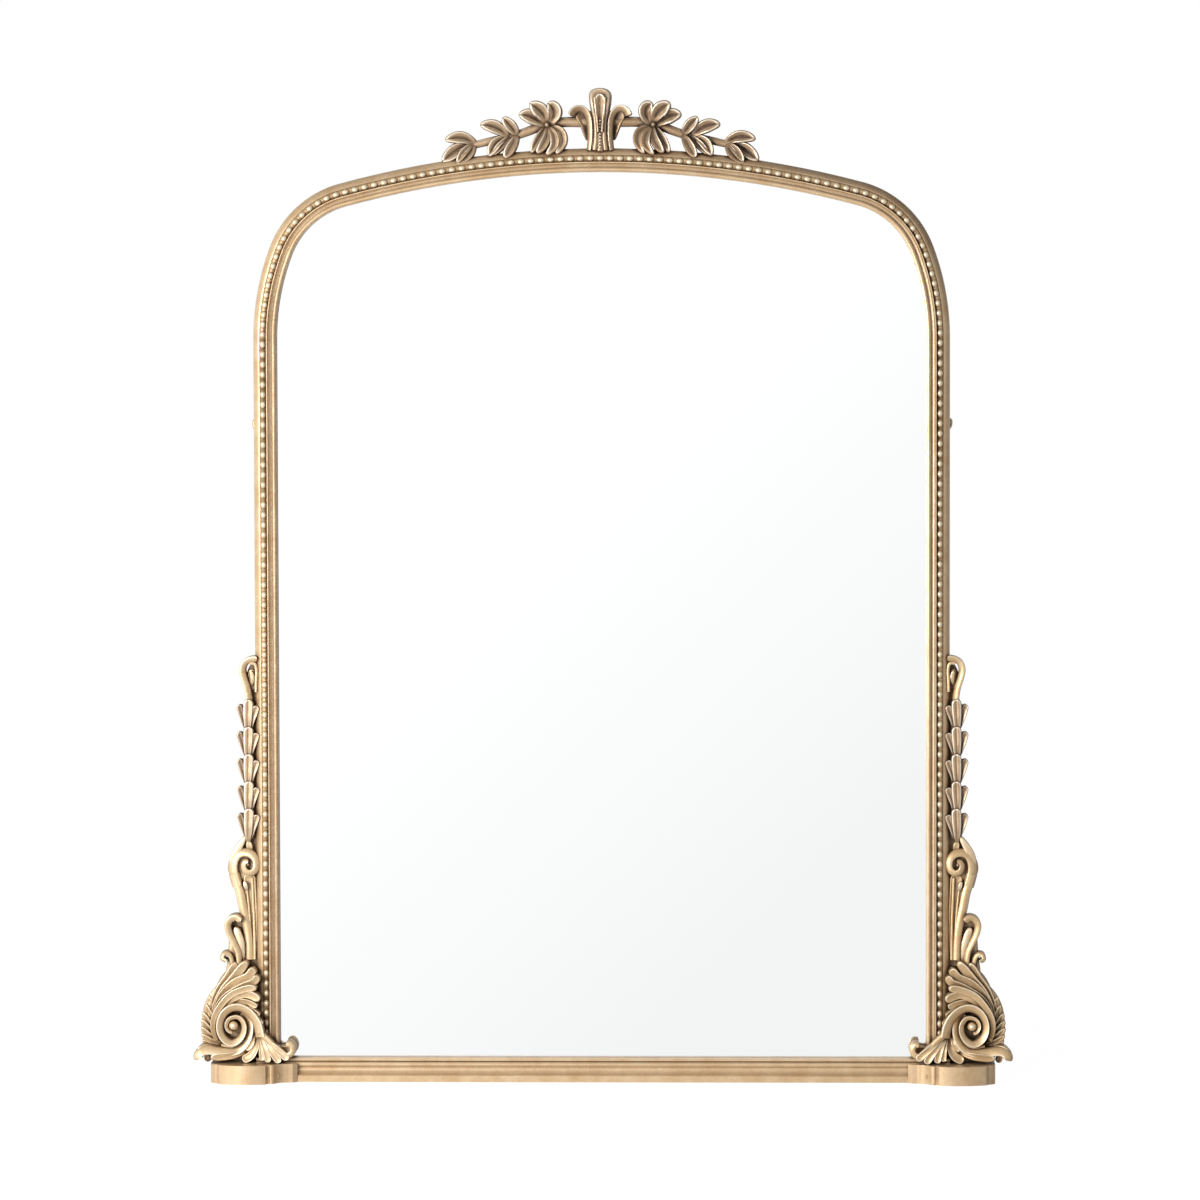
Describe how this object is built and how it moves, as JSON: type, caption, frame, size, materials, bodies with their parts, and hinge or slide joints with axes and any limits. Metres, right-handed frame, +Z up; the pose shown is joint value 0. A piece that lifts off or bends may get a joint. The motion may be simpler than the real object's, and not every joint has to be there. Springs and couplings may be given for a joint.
{
  "type": "arched overmantel pier mirror",
  "caption": "Gilded arched pier mirror with pearl beading, a pierced leafy crest, scrolled acanthus side brackets and bowed plinths",
  "frame": {"origin": "on the underside of the base rail, midway between the two stiles and midway between its front and the wall side", "axes": "+Z up the mirror, +X to the right seen from the front, +Y toward the wall behind"},
  "size_m": [0.7562, 0.0574, 0.914],
  "materials": {
    "gilt_wood": "satin",
    "gilt_casting": "satin",
    "silvered_glass": "gloss",
    "backing_board": "matte",
    "bare_wood": "matte",
    "steel": "satin",
    "black_rubber": "matte",
    "brown_felt": "matte"
  },
  "bodies": {
    "frame": {"crown": "gilt_wood", "shoulder_left": "gilt_wood", "shoulder_right": "gilt_wood", "haunch_left": "gilt_wood", "haunch_right": "gilt_wood", "stile_left": "gilt_wood", "stile_right": "gilt_wood", "base_rail": "gilt_wood", "plinth_left": "gilt_wood", "plinth_right": "gilt_wood", "bracket_left": "gilt_wood", "bracket_right": "gilt_wood", "beading_arch": "gilt_casting", "beading_left": "gilt_casting", "beading_right": "gilt_casting", "crest_plume": "gilt_casting", "crest_spray_left": "gilt_casting", "crest_spray_right": "gilt_casting", "crook_left": "gilt_casting", "crook_right": "gilt_casting", "husk_drop_left": "gilt_casting", "husk_drop_right": "gilt_casting", "volute_left": "gilt_casting", "volute_right": "gilt_casting", "acanthus_left": "gilt_casting", "acanthus_right": "gilt_casting", "mirror_glass": "silvered_glass", "setting_blocks": "black_rubber", "backing_board": "backing_board", "backing_screws": "steel", "arch_tongues": "bare_wood", "stile_dowels": "bare_wood", "bracket_dowels": "bare_wood", "crest_dowels": "bare_wood", "plinth_dowels": "bare_wood", "plinth_screws": "steel", "hanger_strap_left": "steel", "hanger_strap_right": "steel", "hanger_screws": "steel", "wall_bumpers": "brown_felt"},
    "ring_left": {"hanger_ring_left": "steel"},
    "ring_right": {"hanger_ring_right": "steel"}
  },
  "joints": [
    {"name": "ring_left_swing", "type": "hinge", "parent": "frame", "child": "ring_left", "pos_m": [-0.314, 0.0182, 0.61], "axis": [1, 0, 0], "range_deg": [0, 175]},
    {"name": "ring_right_swing", "type": "hinge", "parent": "frame", "child": "ring_right", "pos_m": [0.314, 0.0182, 0.61], "axis": [1, 0, 0], "range_deg": [0, 175]}
  ]
}
